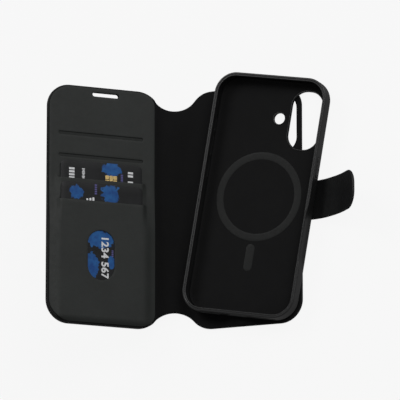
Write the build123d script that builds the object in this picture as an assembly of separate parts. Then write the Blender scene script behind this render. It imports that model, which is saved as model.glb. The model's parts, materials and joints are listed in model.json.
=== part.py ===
"""Folding phone wallet: a two-leaf cover with card pockets, a closing strap and a detachable case.

Frame: millimetres, +Z up, +Y towards the camera end, +X towards the strap. The origin is the centre
of the back leaf's outer face, which lies flat on a table. The leaves are drawn flat and then folded
into the half-open rest position, and the case lies skewed on the back leaf, as when it is taken out.
"""
from build123d import *
import os

# Leaves and spine
LEAF_W = 75.9            # fold line to free edge
LEAF_H = 151.2
LEAF_CORNER = 14.5
SPINE_W = 17.1           # fold line to fold line, equal to the closed thickness between the folds
FOLD_Z = 0.9             # height of both fold lines above the outer face
FOLD_GAP = 0.5           # bare strip left at each side of a fold line
REST_FOLD = 22.0         # degrees at each fold when half open
NOTCH_HALF = 24.6        # half width of the S-shaped relief at each end of the spine
NOTCH_DEPTH = 11.1

# Sheet thicknesses, from the outside in
SKIN_T = 0.8
BOARD_T = 1.2
LINING_T = 0.5
BOARD_START = 4.6        # fold line to the edge of the stiffener board
BOARD_INSET = 0.6
LINING_INSET = 0.3

# Camera window of the back leaf
WINDOW_W, WINDOW_H, WINDOW_R = 32.6, 36.6, 9.0
WINDOW_X, WINDOW_Y = 18.4, 50.7

# Magnets
RING_R, RING_BAND = 28.2, 4.7
RING_Y = 0.2             # ring centre above the middle of the case
BAR_W, BAR_H = 5.6, 17.0
BAR_DROP = 38.6          # ring centre to bar centre
MAGNET_T = 0.8

# Card panel on the front leaf, measured from its fold line and its middle height
PANEL_START = 4.9
PANEL_INSET = 1.0
PANEL_MID = 40.7
PANEL_T = 0.5
BACKING_T = 0.3
DIVIDER_T = 0.35
SLIT_LEN, SLIT_H = 56.0, 2.0
SLIT_YS = (44.5, 30.4)
MOUTH_UPPER_Y, MOUTH_LOWER_Y = 16.0, 2.2
POCKET_W = 60.4
POCKET_INSET = 1.3
POCKET_FLOOR_UPPER, POCKET_FLOOR_LOWER = -58.4, -72.4
THUMB_W, THUMB_H = 17.6, 31.4
THUMB_MID, THUMB_Y = 41.2, -31.9
EARPIECE_W, EARPIECE_H = 17.6, 2.7
EARPIECE_MID, EARPIECE_Y = 37.6, 70.8

# Cards, standard ID-1 size
CARD_W, CARD_H, CARD_T, CARD_CORNER = 54.0, 85.6, 0.76, 3.18
CARD_GAP = 0.05
CARD_SHOWS = 11.3        # length left standing out of the pocket
CHIP_W, CHIP_H, CHIP_T = 8.0, 10.8, 0.2
CHIP_MID, CHIP_TOP = 34.2, 7.7

# Detachable case
CASE_W, CASE_H, CASE_T, CASE_CORNER = 74.8, 151.6, 10.4, 13.4
CASE_WALL, CASE_LIP, CASE_FLOOR = 1.5, 0.75, 1.6
CASE_LIP_T = 0.8
CASE_CLEAR = 0.3         # air between the case and the leaf lining
CASE_LINING_T = 0.4
CASE_SKIN_T = 0.5
SEAT_X = 0.8             # case middle when seated
REST_SHIFT = (9.9, 4.5)       # ring centre, taken out against seated
REST_TURN = 9.9          # degrees clockwise, taken out against seated
PILL_W, PILL_H, PILL_R = 20.3, 36.7, 9.3
PILL_X, PILL_Y = 22.6, 50.4
FLASH_R, FLASH_X = 3.5, 5.2
BUTTON_T = 3.2
BUTTON_CLEAR = 0.15
BUTTON_PROUD = 0.45
# name: side, centre height, length
BUTTONS = {
    "action_button": (-1, 43.0, 7.6),
    "volume_up_button": (-1, 29.6, 12.0),
    "volume_down_button": (-1, 15.4, 12.0),
    "side_button": (1, 21.0, 13.0),
}
SCOOP_Y, SCOOP_LEN, SCOOP_RAMP, SCOOP_DEPTH = -23.0, 28.0, 10.0, 0.9
PORT_W, PORT_H = 13.0, 5.6
SPEAKER_W, SPEAKER_H, SPEAKER_X = 14.0, 2.2, 18.5

# Closing strap: a fixed stub and two links, each with its rise from the table in degrees
STRAP_W = 24.4
STRAP_Y = 0.1
STRAP_SKIN_T, STRAP_LINING_T = 0.8, 0.8
STUB_LEN, STUB_RISE = 13.1, 3.0
MID_LEN, MID_RISE = 18.6, 33.0
TIP_LEN, TIP_RISE = 22.4, 47.0
STRAP_SKIN_GAP, STRAP_LINING_GAP = 0.4, 0.9     # bare ends, so that the links fold to a right angle
STRAP_CORNER = 10.0
TONGUE_LEN = 8.0
PLATE_MID = 67.4         # steel plate in the front leaf, from the fold line, under the closed strap tip

# Derived places
EDGE_X = LEAF_W / 2
FOLD_X = -LEAF_W / 2
FOLD_B_X = FOLD_X - SPINE_W
SPINE_MID_X = FOLD_X - SPINE_W / 2
BOARD_Z = SKIN_T
LINING_Z = BOARD_Z + BOARD_T
LEAF_T = LINING_Z + LINING_T
PANEL_Z = LINING_Z + BACKING_T
CARD_UPPER_Z = PANEL_Z + PANEL_T + CARD_GAP
DIVIDER_Z = CARD_UPPER_Z + CARD_T + CARD_GAP
CARD_LOWER_Z = DIVIDER_Z + DIVIDER_T + CARD_GAP
POCKET_FRONT_Z = CARD_LOWER_Z + CARD_T + CARD_GAP
CASE_Z = LEAF_T + CASE_CLEAR
STRAP_Z = 1.1            # middle of the strap where it leaves the leaf

TALL = 400.0             # longer than anything it trims
DEEP = 40.0


def slab(sketch, z, thickness):
    """The sketch raised to z and given a thickness."""
    return extrude(Pos(0, 0, z) * sketch, thickness)


def notch():
    """The S-curve relief at the top end of the flat spine, drawn about the spine's middle."""
    top = LEAF_H / 2
    left, right = (-NOTCH_HALF, top), (NOTCH_HALF, top)
    bend_left = (-NOTCH_HALF / 2, top - NOTCH_DEPTH / 2)
    bend_right = (NOTCH_HALF / 2, top - NOTCH_DEPTH / 2)
    edges = [
        TangentArc(left, bend_left, tangent=(1, 0)),
        ThreePointArc(bend_left, (0, top - NOTCH_DEPTH), bend_right),
        TangentArc(right, bend_right, tangent=(-1, 0)),
        Polyline(right, (NOTCH_HALF, top + 2), (-NOTCH_HALF, top + 2), left),
    ]
    return make_face(edges)


def flat_outline(inset):
    """Both leaves and the spine, laid flat, with the edge drawn in by the inset."""
    width = 2 * LEAF_W + SPINE_W
    whole = RectangleRounded(width, LEAF_H, LEAF_CORNER)
    whole = whole - notch() - mirror(notch(), Plane.XZ)
    if inset:
        whole = offset(whole, -inset)
    return Pos(SPINE_MID_X, 0) * whole


def strip(from_x, to_x):
    """An endless upright strip between two X positions."""
    return Pos((from_x + to_x) / 2, 0) * Rectangle(abs(to_x - from_x), TALL)


def leaf_x(distance):
    """X of a place on the flat front leaf at a distance from its fold line."""
    return FOLD_B_X - distance


def about_fold(x, angle):
    """The turn about a fold line."""
    return Pos(x, 0, FOLD_Z) * Rot(0, angle, 0) * Pos(-x, 0, -FOLD_Z)


def spine_place():
    return about_fold(FOLD_X, REST_FOLD)


def front_place():
    return spine_place() * about_fold(FOLD_B_X, REST_FOLD)


def case_place():
    """From the case's own frame (middle of its back face) to its place on the leaf."""
    ring = Pos(SEAT_X + REST_SHIFT[0], RING_Y + REST_SHIFT[1], CASE_Z)
    return ring * Rot(0, 0, -REST_TURN) * Pos(0, -RING_Y, 0)


def strap_joint(number):
    """Turned frame at the start of a strap stretch: 0 stub, 1 middle link, 2 tip link."""
    place = Pos(EDGE_X, STRAP_Y, STRAP_Z) * Rot(0, -STUB_RISE, 0)
    if number >= 1:
        place = place * Pos(STUB_LEN, 0, 0) * Rot(0, STUB_RISE - MID_RISE, 0)
    if number >= 2:
        place = place * Pos(MID_LEN, 0, 0) * Rot(0, MID_RISE - TIP_RISE, 0)
    return place


def camera_window(grow=0.0):
    size = RectangleRounded(WINDOW_W + 2 * grow, WINDOW_H + 2 * grow, WINDOW_R + grow)
    return Pos(WINDOW_X, WINDOW_Y) * size


def magnet_ring(z, thickness, clear=0.0):
    ring = Circle(RING_R + clear) - Circle(RING_R - RING_BAND - clear)
    return slab(ring, z, thickness)


def magnet_bar(z, thickness, clear=0.0):
    bar = SlotOverall(BAR_H + 2 * clear, BAR_W + 2 * clear, rotation=90)
    return slab(Pos(0, -BAR_DROP) * bar, z, thickness)


def tongue(clear=0.0):
    """The end of the strap that is glued between the skin and the lining."""
    width = STRAP_W + 2 * clear
    return Pos(EDGE_X - TONGUE_LEN / 2, STRAP_Y, BOARD_Z + BOARD_T / 2) * Box(
        TONGUE_LEN + 2 * clear, width, BOARD_T
    )


# Back leaf

def back_skin():
    sheet = flat_outline(0) & strip(FOLD_X + FOLD_GAP, EDGE_X + 1)
    return slab(sheet - camera_window(0.4), 0, SKIN_T)


def back_board():
    sheet = flat_outline(BOARD_INSET) & strip(FOLD_X + BOARD_START, EDGE_X + 1)
    board = slab(sheet - camera_window(0.8), BOARD_Z, BOARD_T)
    seat = Pos(SEAT_X, RING_Y, 0)
    pocket_z = LINING_Z - MAGNET_T
    board -= seat * magnet_ring(pocket_z, MAGNET_T)
    board -= seat * magnet_bar(pocket_z, MAGNET_T)
    return board - tongue()


def back_magnet_ring():
    return Pos(SEAT_X, RING_Y, 0) * magnet_ring(LINING_Z - MAGNET_T, MAGNET_T)


def back_alignment_magnet():
    return Pos(SEAT_X, RING_Y, 0) * magnet_bar(LINING_Z - MAGNET_T, MAGNET_T)


def lining_section(from_x, to_x, direction):
    """Side view of a lining that lies on the skin at the fold and climbs onto the board."""
    ramp_foot = from_x + direction * (BOARD_START - 1.2)
    ramp_top = from_x + direction * (BOARD_START - 0.2)
    start = from_x + direction * FOLD_GAP
    low, high = SKIN_T, LINING_Z
    outline = [
        (start, low), (start, low + LINING_T), (ramp_foot, low + LINING_T),
        (ramp_top, high + LINING_T), (to_x, high + LINING_T), (to_x, high),
        (ramp_top + direction * 0.2, high), (ramp_foot + direction * 0.4, low),
    ]
    face = make_face(Polyline(outline, close=True))
    return extrude(Plane.XZ * face, TALL / 2, both=True)


def back_lining():
    sheet = flat_outline(LINING_INSET) & strip(FOLD_X, EDGE_X + 1)
    prism = slab(sheet - camera_window(), 0, DEEP)
    return lining_section(FOLD_X, EDGE_X, 1) & prism


# Spine

def spine_part(inset, z, thickness):
    sheet = flat_outline(inset) & strip(FOLD_B_X + FOLD_GAP, FOLD_X - FOLD_GAP)
    return spine_place() * slab(sheet, z, thickness)


def spine_skin():
    return spine_part(0, 0, SKIN_T)


def spine_lining():
    return spine_part(LINING_INSET, SKIN_T, LINING_T)


# Front leaf

def earpiece(grow=0.0):
    slot = SlotOverall(EARPIECE_W + 2 * grow, EARPIECE_H + 2 * grow)
    return Pos(leaf_x(EARPIECE_MID), EARPIECE_Y) * slot


def leaf_sheet(inset, start):
    """The flat front leaf from a distance off its fold line out to its free edge."""
    sheet = flat_outline(inset) & strip(leaf_x(LEAF_W + 1), leaf_x(start))
    return sheet - earpiece()


def front_skin():
    return front_place() * slab(leaf_sheet(0, FOLD_GAP), 0, SKIN_T)


def closure_plate_block():
    return Pos(leaf_x(PLATE_MID), STRAP_Y, LINING_Z - MAGNET_T / 2) * Box(15, 22, MAGNET_T)


def front_board():
    board = slab(leaf_sheet(BOARD_INSET, BOARD_START), BOARD_Z, BOARD_T)
    return front_place() * (board - closure_plate_block())


def front_closure_plate():
    return front_place() * closure_plate_block()


def front_fold_lining():
    sheet = flat_outline(LINING_INSET) & strip(leaf_x(BOARD_START), leaf_x(FOLD_GAP))
    return front_place() * slab(sheet, SKIN_T, LINING_T)


def pocket_backing():
    return front_place() * slab(leaf_sheet(PANEL_INSET, PANEL_START), LINING_Z, BACKING_T)


def card_panel():
    sheet = leaf_sheet(PANEL_INSET, PANEL_START)
    for y in SLIT_YS:
        sheet -= Pos(leaf_x(PANEL_MID), y) * SlotOverall(SLIT_LEN, SLIT_H)
    return front_place() * slab(sheet, PANEL_Z, PANEL_T)


def pocket_sheet(mouth_y, floor_y):
    """A pocket's face, from its open mouth down to the sewn floor, kept inside the leaf's corners."""
    height = mouth_y - floor_y
    place = Pos(leaf_x(PANEL_MID), (mouth_y + floor_y) / 2)
    return place * RectangleRounded(POCKET_W, height, 1.5) & flat_outline(POCKET_INSET)


def pocket_divider():
    sheet = pocket_sheet(MOUTH_UPPER_Y, POCKET_FLOOR_LOWER - 1.6)
    return front_place() * slab(sheet, DIVIDER_Z, DIVIDER_T)


def pocket_front():
    sheet = pocket_sheet(MOUTH_LOWER_Y, POCKET_FLOOR_LOWER - 1.6)
    sheet -= Pos(leaf_x(THUMB_MID), THUMB_Y) * SlotOverall(THUMB_H, THUMB_W, rotation=90)
    return front_place() * slab(sheet, POCKET_FRONT_Z, PANEL_T)


def pocket_rail(mouth_y, floor_y, z, thickness):
    """The U-shaped margin that closes a pocket at its sides and floor."""
    outer = pocket_sheet(mouth_y, POCKET_FLOOR_LOWER - 1.6)
    inner_w = CARD_W + 1.0
    top = mouth_y + 5
    inner = Pos(leaf_x(PANEL_MID), (top + floor_y) / 2) * Rectangle(inner_w, top - floor_y)
    return slab(outer - inner, z, thickness)


def pocket_rails():
    lower = pocket_rail(MOUTH_LOWER_Y, POCKET_FLOOR_LOWER, DIVIDER_Z + DIVIDER_T,
                        POCKET_FRONT_Z - DIVIDER_Z - DIVIDER_T)
    upper = pocket_rail(MOUTH_UPPER_Y, POCKET_FLOOR_UPPER, PANEL_Z + PANEL_T,
                        DIVIDER_Z - PANEL_Z - PANEL_T)
    return front_place() * Compound([lower, upper])


# Cards

def card_at(mouth_y, z):
    """A card in its pocket, on the flat leaf."""
    middle = mouth_y + CARD_SHOWS - CARD_H / 2
    sheet = RectangleRounded(CARD_W, CARD_H, CARD_CORNER)
    return slab(Pos(leaf_x(PANEL_MID), middle) * sheet, z, CARD_T)


def chip_block():
    top = MOUTH_UPPER_Y + CARD_SHOWS - CHIP_TOP
    face = Pos(leaf_x(CHIP_MID), top - CHIP_H / 2) * RectangleRounded(CHIP_W, CHIP_H, 1.2)
    return slab(face, CARD_UPPER_Z + CARD_T - CHIP_T, CHIP_T)


def upper_card():
    return front_place() * (card_at(MOUTH_UPPER_Y, CARD_UPPER_Z) - chip_block())


def upper_card_chip():
    return front_place() * chip_block()


def lower_card():
    return front_place() * card_at(MOUTH_LOWER_Y, CARD_LOWER_Z)


# Case

def case_holes(grow):
    pill = Pos(PILL_X, PILL_Y) * RectangleRounded(
        PILL_W + 2 * grow, PILL_H + 2 * grow, PILL_R + grow
    )
    flash = Pos(FLASH_X, PILL_Y) * Circle(FLASH_R + grow)
    return pill + flash


def button_block(side, y, length, clear, inner, outer):
    """A stadium-shaped bar through the side wall, between two distances from the middle."""
    face = SlotOverall(length + 2 * clear, BUTTON_T + 2 * clear)
    plane = Plane(origin=(side * inner, y, CASE_FLOOR + 3.9), x_dir=(0, 1, 0),
                  z_dir=(side, 0, 0))
    return extrude(plane * face, outer - inner)


def scoop():
    """The shallow finger recess along the right wall."""
    half, ramp = SCOOP_LEN / 2, SCOOP_LEN / 2 + SCOOP_RAMP
    edge = CASE_W / 2
    outline = Polyline(
        (edge + 1, SCOOP_Y - ramp), (edge, SCOOP_Y - ramp), (edge - SCOOP_DEPTH, SCOOP_Y - half),
        (edge - SCOOP_DEPTH, SCOOP_Y + half), (edge, SCOOP_Y + ramp), (edge + 1, SCOOP_Y + ramp),
        close=True,
    )
    return slab(make_face(outline), 3.4, CASE_T)


def bottom_openings():
    """Plug port and two sound slots in the bottom wall."""
    plane = Plane(origin=(0, -CASE_H / 2 - 1, CASE_FLOOR + 3.9), x_dir=(1, 0, 0),
                  z_dir=(0, 1, 0))
    face = SlotOverall(PORT_W, PORT_H)
    for side in (-1, 1):
        face += Pos(side * SPEAKER_X, 0) * SlotOverall(SPEAKER_W, SPEAKER_H)
    return extrude(plane * face, 4)


def case_shell():
    body = slab(RectangleRounded(CASE_W, CASE_H, CASE_CORNER), 0, CASE_T)
    body = fillet(body.faces().sort_by(Axis.Z)[0].edges(), 2.4)
    body = fillet(body.faces().sort_by(Axis.Z)[-1].edges(), 0.6)
    inner_w, inner_h = CASE_W - 2 * CASE_WALL, CASE_H - 2 * CASE_WALL
    inner = RectangleRounded(inner_w, inner_h, CASE_CORNER - CASE_WALL)
    body -= slab(inner, CASE_FLOOR, CASE_T - CASE_FLOOR - CASE_LIP_T)
    mouth = RectangleRounded(inner_w - 2 * CASE_LIP, inner_h - 2 * CASE_LIP,
                             CASE_CORNER - CASE_WALL - CASE_LIP)
    body -= slab(mouth, CASE_FLOOR, CASE_T)
    body -= case_skin_sheet(0)
    body -= slab(case_holes(0), -1, CASE_T)
    body -= Pos(0, RING_Y, 0) * magnet_ring(0.7, CASE_T, 0.1)
    body -= Pos(0, RING_Y, 0) * magnet_bar(0.75, CASE_T)
    for side, y, length in BUTTONS.values():
        body -= button_block(side, y, length, BUTTON_CLEAR, CASE_W / 2 - 4, CASE_W / 2 + 4)
    return case_place() * (body - scoop() - bottom_openings())


def case_skin_sheet(inset):
    size = RectangleRounded(CASE_W - 7 - 2 * inset, CASE_H - 7 - 2 * inset, 10.5 - inset)
    return slab(size - case_holes(1.2 + inset), 0, CASE_SKIN_T)


def case_back_skin():
    return case_place() * case_skin_sheet(0.05)


def case_lining():
    width, height = CASE_W - 2 * CASE_WALL - 0.4, CASE_H - 2 * CASE_WALL - 0.4
    sheet = RectangleRounded(width, height, CASE_CORNER - CASE_WALL - 0.2) - case_holes(0.9)
    return case_place() * slab(sheet, CASE_FLOOR, CASE_LINING_T)


def case_magnet_ring():
    return case_place() * Pos(0, RING_Y, 0) * magnet_ring(0.75, MAGNET_T)


def case_alignment_magnet():
    return case_place() * Pos(0, RING_Y, 0) * magnet_bar(0.75, MAGNET_T)


def case_button(name):
    side, y, length = BUTTONS[name]
    inner = CASE_W / 2 - CASE_WALL
    return case_place() * button_block(side, y, length, 0, inner, CASE_W / 2 + BUTTON_PROUD)


# Strap

def strap_stretch(number, length, lining):
    """One stretch of strap in its own turned frame, as skin or as lining."""
    gap = STRAP_LINING_GAP if lining else STRAP_SKIN_GAP
    start = 0.0 if number == 0 else gap
    end = length if number == 2 else length - gap
    thickness = STRAP_LINING_T if lining else STRAP_SKIN_T
    z = 0 if lining else -STRAP_SKIN_T
    width = STRAP_W - (0.6 if lining else 0)
    sheet = Pos((start + end) / 2, 0) * Rectangle(end - start, width)
    if number == 2:
        corners = [c for c in sheet.vertices() if c.X > length / 2]
        sheet = fillet(corners, STRAP_CORNER)
    return strap_joint(number) * slab(sheet, z, thickness)


def strap_stub_skin():
    return strap_stretch(0, STUB_LEN, False) - Pos(EDGE_X - 5, 0, 0) * Box(10, 40, 4)


def strap_stub_lining():
    start = strap_stretch(0, STUB_LEN, True) - Pos(EDGE_X - 5, 0, 0) * Box(10, 40, 8)
    return start + (tongue() - strap_stub_skin())


def strap_magnet_block():
    return strap_joint(2) * Pos(TIP_LEN - 7.8, 0, 0.35) * Box(8, 16, 0.7)


def strap_magnet():
    return strap_magnet_block()


NODES = {
    "back_skin": back_skin,
    "back_board": back_board,
    "back_magnet_ring": back_magnet_ring,
    "back_alignment_magnet": back_alignment_magnet,
    "back_lining": back_lining,
    "spine_skin": spine_skin,
    "spine_lining": spine_lining,
    "front_skin": front_skin,
    "front_board": front_board,
    "front_closure_plate": front_closure_plate,
    "front_fold_lining": front_fold_lining,
    "pocket_backing": pocket_backing,
    "card_panel": card_panel,
    "pocket_divider": pocket_divider,
    "pocket_front": pocket_front,
    "pocket_rails": pocket_rails,
    "upper_card": upper_card,
    "upper_card_chip": upper_card_chip,
    "lower_card": lower_card,
    "case_shell": case_shell,
    "case_back_skin": case_back_skin,
    "case_lining": case_lining,
    "case_magnet_ring": case_magnet_ring,
    "case_alignment_magnet": case_alignment_magnet,
    "strap_stub_skin": strap_stub_skin,
    "strap_stub_lining": strap_stub_lining,
    "strap_mid_skin": lambda: strap_stretch(1, MID_LEN, False),
    "strap_mid_lining": lambda: strap_stretch(1, MID_LEN, True),
    "strap_tip_skin": lambda: strap_stretch(2, TIP_LEN, False),
    "strap_tip_lining": lambda: strap_stretch(2, TIP_LEN, True) - strap_magnet_block(),
    "strap_magnet": strap_magnet,
}
for button in BUTTONS:
    NODES[button] = lambda name=button: case_button(name)

os.makedirs("parts", exist_ok=True)
for node, make in NODES.items():
    export_step(make(), f"parts/{node}.step")
    print("wrote", node)
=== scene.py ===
import json
import math

import bpy
import numpy as np
from mathutils import Matrix, Vector
from mathutils.geometry import delaunay_2d_cdt


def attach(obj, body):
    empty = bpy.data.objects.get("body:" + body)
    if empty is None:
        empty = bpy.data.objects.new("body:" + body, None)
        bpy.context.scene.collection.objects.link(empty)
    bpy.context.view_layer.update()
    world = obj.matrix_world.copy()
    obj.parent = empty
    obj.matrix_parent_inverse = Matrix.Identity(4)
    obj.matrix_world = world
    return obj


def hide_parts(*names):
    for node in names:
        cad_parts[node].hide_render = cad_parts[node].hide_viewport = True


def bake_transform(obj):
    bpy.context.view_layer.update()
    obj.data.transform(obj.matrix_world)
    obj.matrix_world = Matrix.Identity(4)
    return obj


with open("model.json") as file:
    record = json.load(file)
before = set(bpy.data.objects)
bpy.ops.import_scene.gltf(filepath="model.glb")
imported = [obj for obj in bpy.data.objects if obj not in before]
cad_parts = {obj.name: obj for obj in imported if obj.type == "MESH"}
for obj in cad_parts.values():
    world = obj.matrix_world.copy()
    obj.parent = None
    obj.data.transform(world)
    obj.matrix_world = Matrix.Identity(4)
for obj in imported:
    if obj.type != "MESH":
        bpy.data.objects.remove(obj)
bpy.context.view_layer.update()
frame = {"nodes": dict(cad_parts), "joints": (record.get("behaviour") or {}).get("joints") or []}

# Everything below is worked out in millimetres and turned into metres when a mesh is made.
MM = 0.001
joints = {j["name"]: j for j in frame["joints"]}
fold_a = np.array(joints["spine_fold"]["pos_m"]) / MM
fold_b = np.array(joints["cover_fold"]["pos_m"]) / MM
ring_centre = np.array(joints["case_turn"]["pos_m"]) / MM
case_turn = math.radians(joints["case_turn"]["range_deg"][1])

# Leaves and spine, laid flat
LEAF_W, LEAF_H, LEAF_CORNER = 75.9, 151.2, 14.5
FOLD_X, FOLD_Z = fold_a[0], fold_a[2]
SPINE_W = float(np.hypot(*(fold_b - fold_a)[[0, 2]]))
REST_FOLD = math.atan2(fold_b[2] - fold_a[2], fold_a[0] - fold_b[0])
FOLD_B_X = FOLD_X - SPINE_W
SPINE_MID = FOLD_X - SPINE_W / 2
EDGE_X = FOLD_X + LEAF_W
FOLD_ZONE = 5.0
NOTCH_HALF, NOTCH_DEPTH = 24.6, 11.1
SPINE_T, LEAF_T = 0.8, 2.0          # leather alone, and leather with its board
LINING_T = 0.5
WINDOW = (18.4, 50.7, 32.6, 36.6, 9.0)

# Card panel on the front leaf
PANEL_START, PANEL_INSET, PANEL_MID = 4.9, 1.0, 40.7
PANEL_Z, PANEL_T = 2.8, 0.5
SLIT_LEN, SLIT_H, SLIT_YS = 56.0, 2.0, (44.5, 30.4)
MOUTHS = (16.0, 2.2)
MOUTH_RISE = (1.21, 1.36)
MOUTH_SLIT = 0.3
THUMB = (41.2, -31.9, 17.6, 31.4)
EARPIECE = (37.6, 70.8, 17.6, 2.7)
CARD_W, CARD_H, CARD_T, CARD_CORNER, CARD_SHOWS = 54.0, 85.6, 0.76, 3.18, 11.3
CARD_ZS = (2.85, 4.06)
CHIP_MID, CHIP_TOP, CHIP_H = 34.2, 7.7, 10.8
DIGITS_MID, DIGITS_Y, DIGITS_TALL, DIGITS_WIDE = 38.5, -33.6, 1.15, 1.22

# Case, in its own frame from the middle of its back face
CASE_W, CASE_H, CASE_CORNER = 74.8, 151.6, 13.4
CASE_Z = 2.8
CASE_FLOOR = 1.6
RING_Y, RING_R, RING_BAND = 0.2, 28.2, 4.7
BAR = (0.0, -38.4, 5.6, 17.0)
PILL = (22.6, 50.4, 20.3, 36.7, 9.3)
FLASH = (5.2, 50.4, 3.5)
KEY_Z, KEY_T = 5.5, 3.2
PORTS = ((0.0, 13.0, 5.6), (18.5, 14.0, 2.2), (-18.5, 14.0, 2.2))
KEYS = {
    "action_button": (-1, 43.0, 7.6),
    "volume_up_button": (-1, 29.6, 12.0),
    "volume_down_button": (-1, 15.4, 12.0),
    "side_button": (1, 21.0, 13.0),
}
SCOOP_Y, SCOOP_HALF, SCOOP_RAMP, SCOOP_DEPTH = -23.0, 14.0, 10.0, 0.9

# Strap
STRAP_W, STRAP_Y, STRAP_Z = 24.4, 0.1, 1.1
STUB_LEN, MID_LEN, TIP_LEN = 13.1, 18.6, 22.4
STUB_RISE, MID_RISE, TIP_RISE = (math.radians(a) for a in (3.0, 33.0, 47.0))
STRAP_ZONE = 7.5
STRAP_T = 0.8
STRAP_CORNER = 10.0
STRAP_TONGUE = 8.0                  # glued inside the leaf


# Outlines, as counter-clockwise loops of points

def arc(cx, cy, radius, start, end, count):
    angles = np.radians(np.linspace(start, end, count))
    return np.stack([cx + radius * np.cos(angles), cy + radius * np.sin(angles)], 1)


def rounded(cx, cy, width, height, radius, turn=9):
    """A rounded rectangle whose corners have the given number of points."""
    x, y = width / 2 - radius, height / 2 - radius
    parts = [arc(cx + sx * x, cy + sy * y, radius, start, start + 90, turn)
             for sx, sy, start in ((1, -1, -90), (1, 1, 0), (-1, 1, 90), (-1, -1, 180))]
    return distinct(np.concatenate(parts))


def distinct(loop, least=1e-4):
    step = np.linalg.norm(loop - np.roll(loop, 1, 0), axis=1)
    return loop[step > least]


def divided(loop, longest):
    """The loop with its long edges divided."""
    out = []
    for a, b in zip(loop, np.roll(loop, -1, 0)):
        count = max(1, math.ceil(np.linalg.norm(b - a) / longest - 1e-6))
        out += [a + (b - a) * i / count for i in range(count)]
    return np.array(out)


def inset(loop, distance):
    """The loop drawn in by a distance, or out by a negative one."""
    ahead, behind = np.roll(loop, -1, 0) - loop, loop - np.roll(loop, 1, 0)
    ahead /= np.linalg.norm(ahead, axis=1)[:, None]
    behind /= np.linalg.norm(behind, axis=1)[:, None]
    way = ahead + behind
    way /= np.linalg.norm(way, axis=1)[:, None]
    normal = np.stack([-way[:, 1], way[:, 0]], 1)
    share = np.clip((way * ahead).sum(1), 0.5, 1)
    return loop + normal * (distance / share)[:, None]


def clipped(loop, low, high):
    """The part of a loop between two X positions."""
    for limit, sign in ((low, 1), (high, -1)):
        out = []
        for a, b in zip(loop, np.roll(loop, -1, 0)):
            in_a, in_b = sign * (a[0] - limit) >= 0, sign * (b[0] - limit) >= 0
            if in_a:
                out.append(a)
            if in_a != in_b:
                out.append(a + (b - a) * (limit - a[0]) / (b[0] - a[0]))
        loop = np.array(out)
    return distinct(loop)


def softened(loop, corner, radius):
    """The loop with one sharp corner turned into a smooth bend."""
    near = np.linalg.norm(loop - corner, axis=1) < radius
    start = next(i for i in range(len(loop)) if not near[i - 1] and near[i])
    loop = np.roll(loop, -start, 0)
    keep = loop[~np.roll(near, -start)]
    a, b = keep[-1], keep[0]
    t = np.linspace(0, 1, 10)[1:-1, None]
    return np.concatenate([keep, (1 - t) ** 2 * a + 2 * t * (1 - t) * corner + t * t * b])


def wallet_outline():
    """Both leaves and the spine laid flat, with the S-shaped relief at each end of the spine."""
    top = LEAF_H / 2
    radius = (NOTCH_HALF ** 2 / 4 + NOTCH_DEPTH ** 2 / 4) / NOTCH_DEPTH
    bend = math.degrees(math.atan2(radius - NOTCH_DEPTH / 2, NOTCH_HALF / 2))
    right = LEAF_W + SPINE_W / 2
    quarter = np.concatenate([
        arc(right - LEAF_CORNER, top - LEAF_CORNER, LEAF_CORNER, 0, 90, 22),
        arc(NOTCH_HALF, top - radius, radius, 90, 180 - bend, 12),
        arc(0, top - NOTCH_DEPTH + radius, radius, -bend, -90, 12),
    ])
    upper = np.concatenate([quarter, (quarter * (-1, 1))[::-1]])
    whole = np.concatenate([upper, -upper])
    return divided(distinct(whole + (SPINE_MID, 0)), 3.0)


def leaf_x(distance):
    return FOLD_B_X - distance


# Meshes

def inside(points, loop):
    x, y = points[:, 0], points[:, 1]
    hit = np.zeros(len(points), bool)
    for (x1, y1), (x2, y2) in zip(loop, np.roll(loop, -1, 0)):
        if y1 != y2:
            hit ^= ((y1 > y) != (y2 > y)) & (x < (x2 - x1) * (y - y1) / (y2 - y1) + x1)
    return hit


def distance_to(points, loops):
    best = np.full(len(points), 1e9)
    for loop in loops:
        for a, b in zip(loop, np.roll(loop, -1, 0)):
            along = b - a
            t = np.clip((points - a) @ along / (along @ along), 0, 1)
            gap = points - a - t[:, None] * along
            best = np.minimum(best, np.einsum("ij,ij->i", gap, gap))
    return np.sqrt(best)


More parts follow.
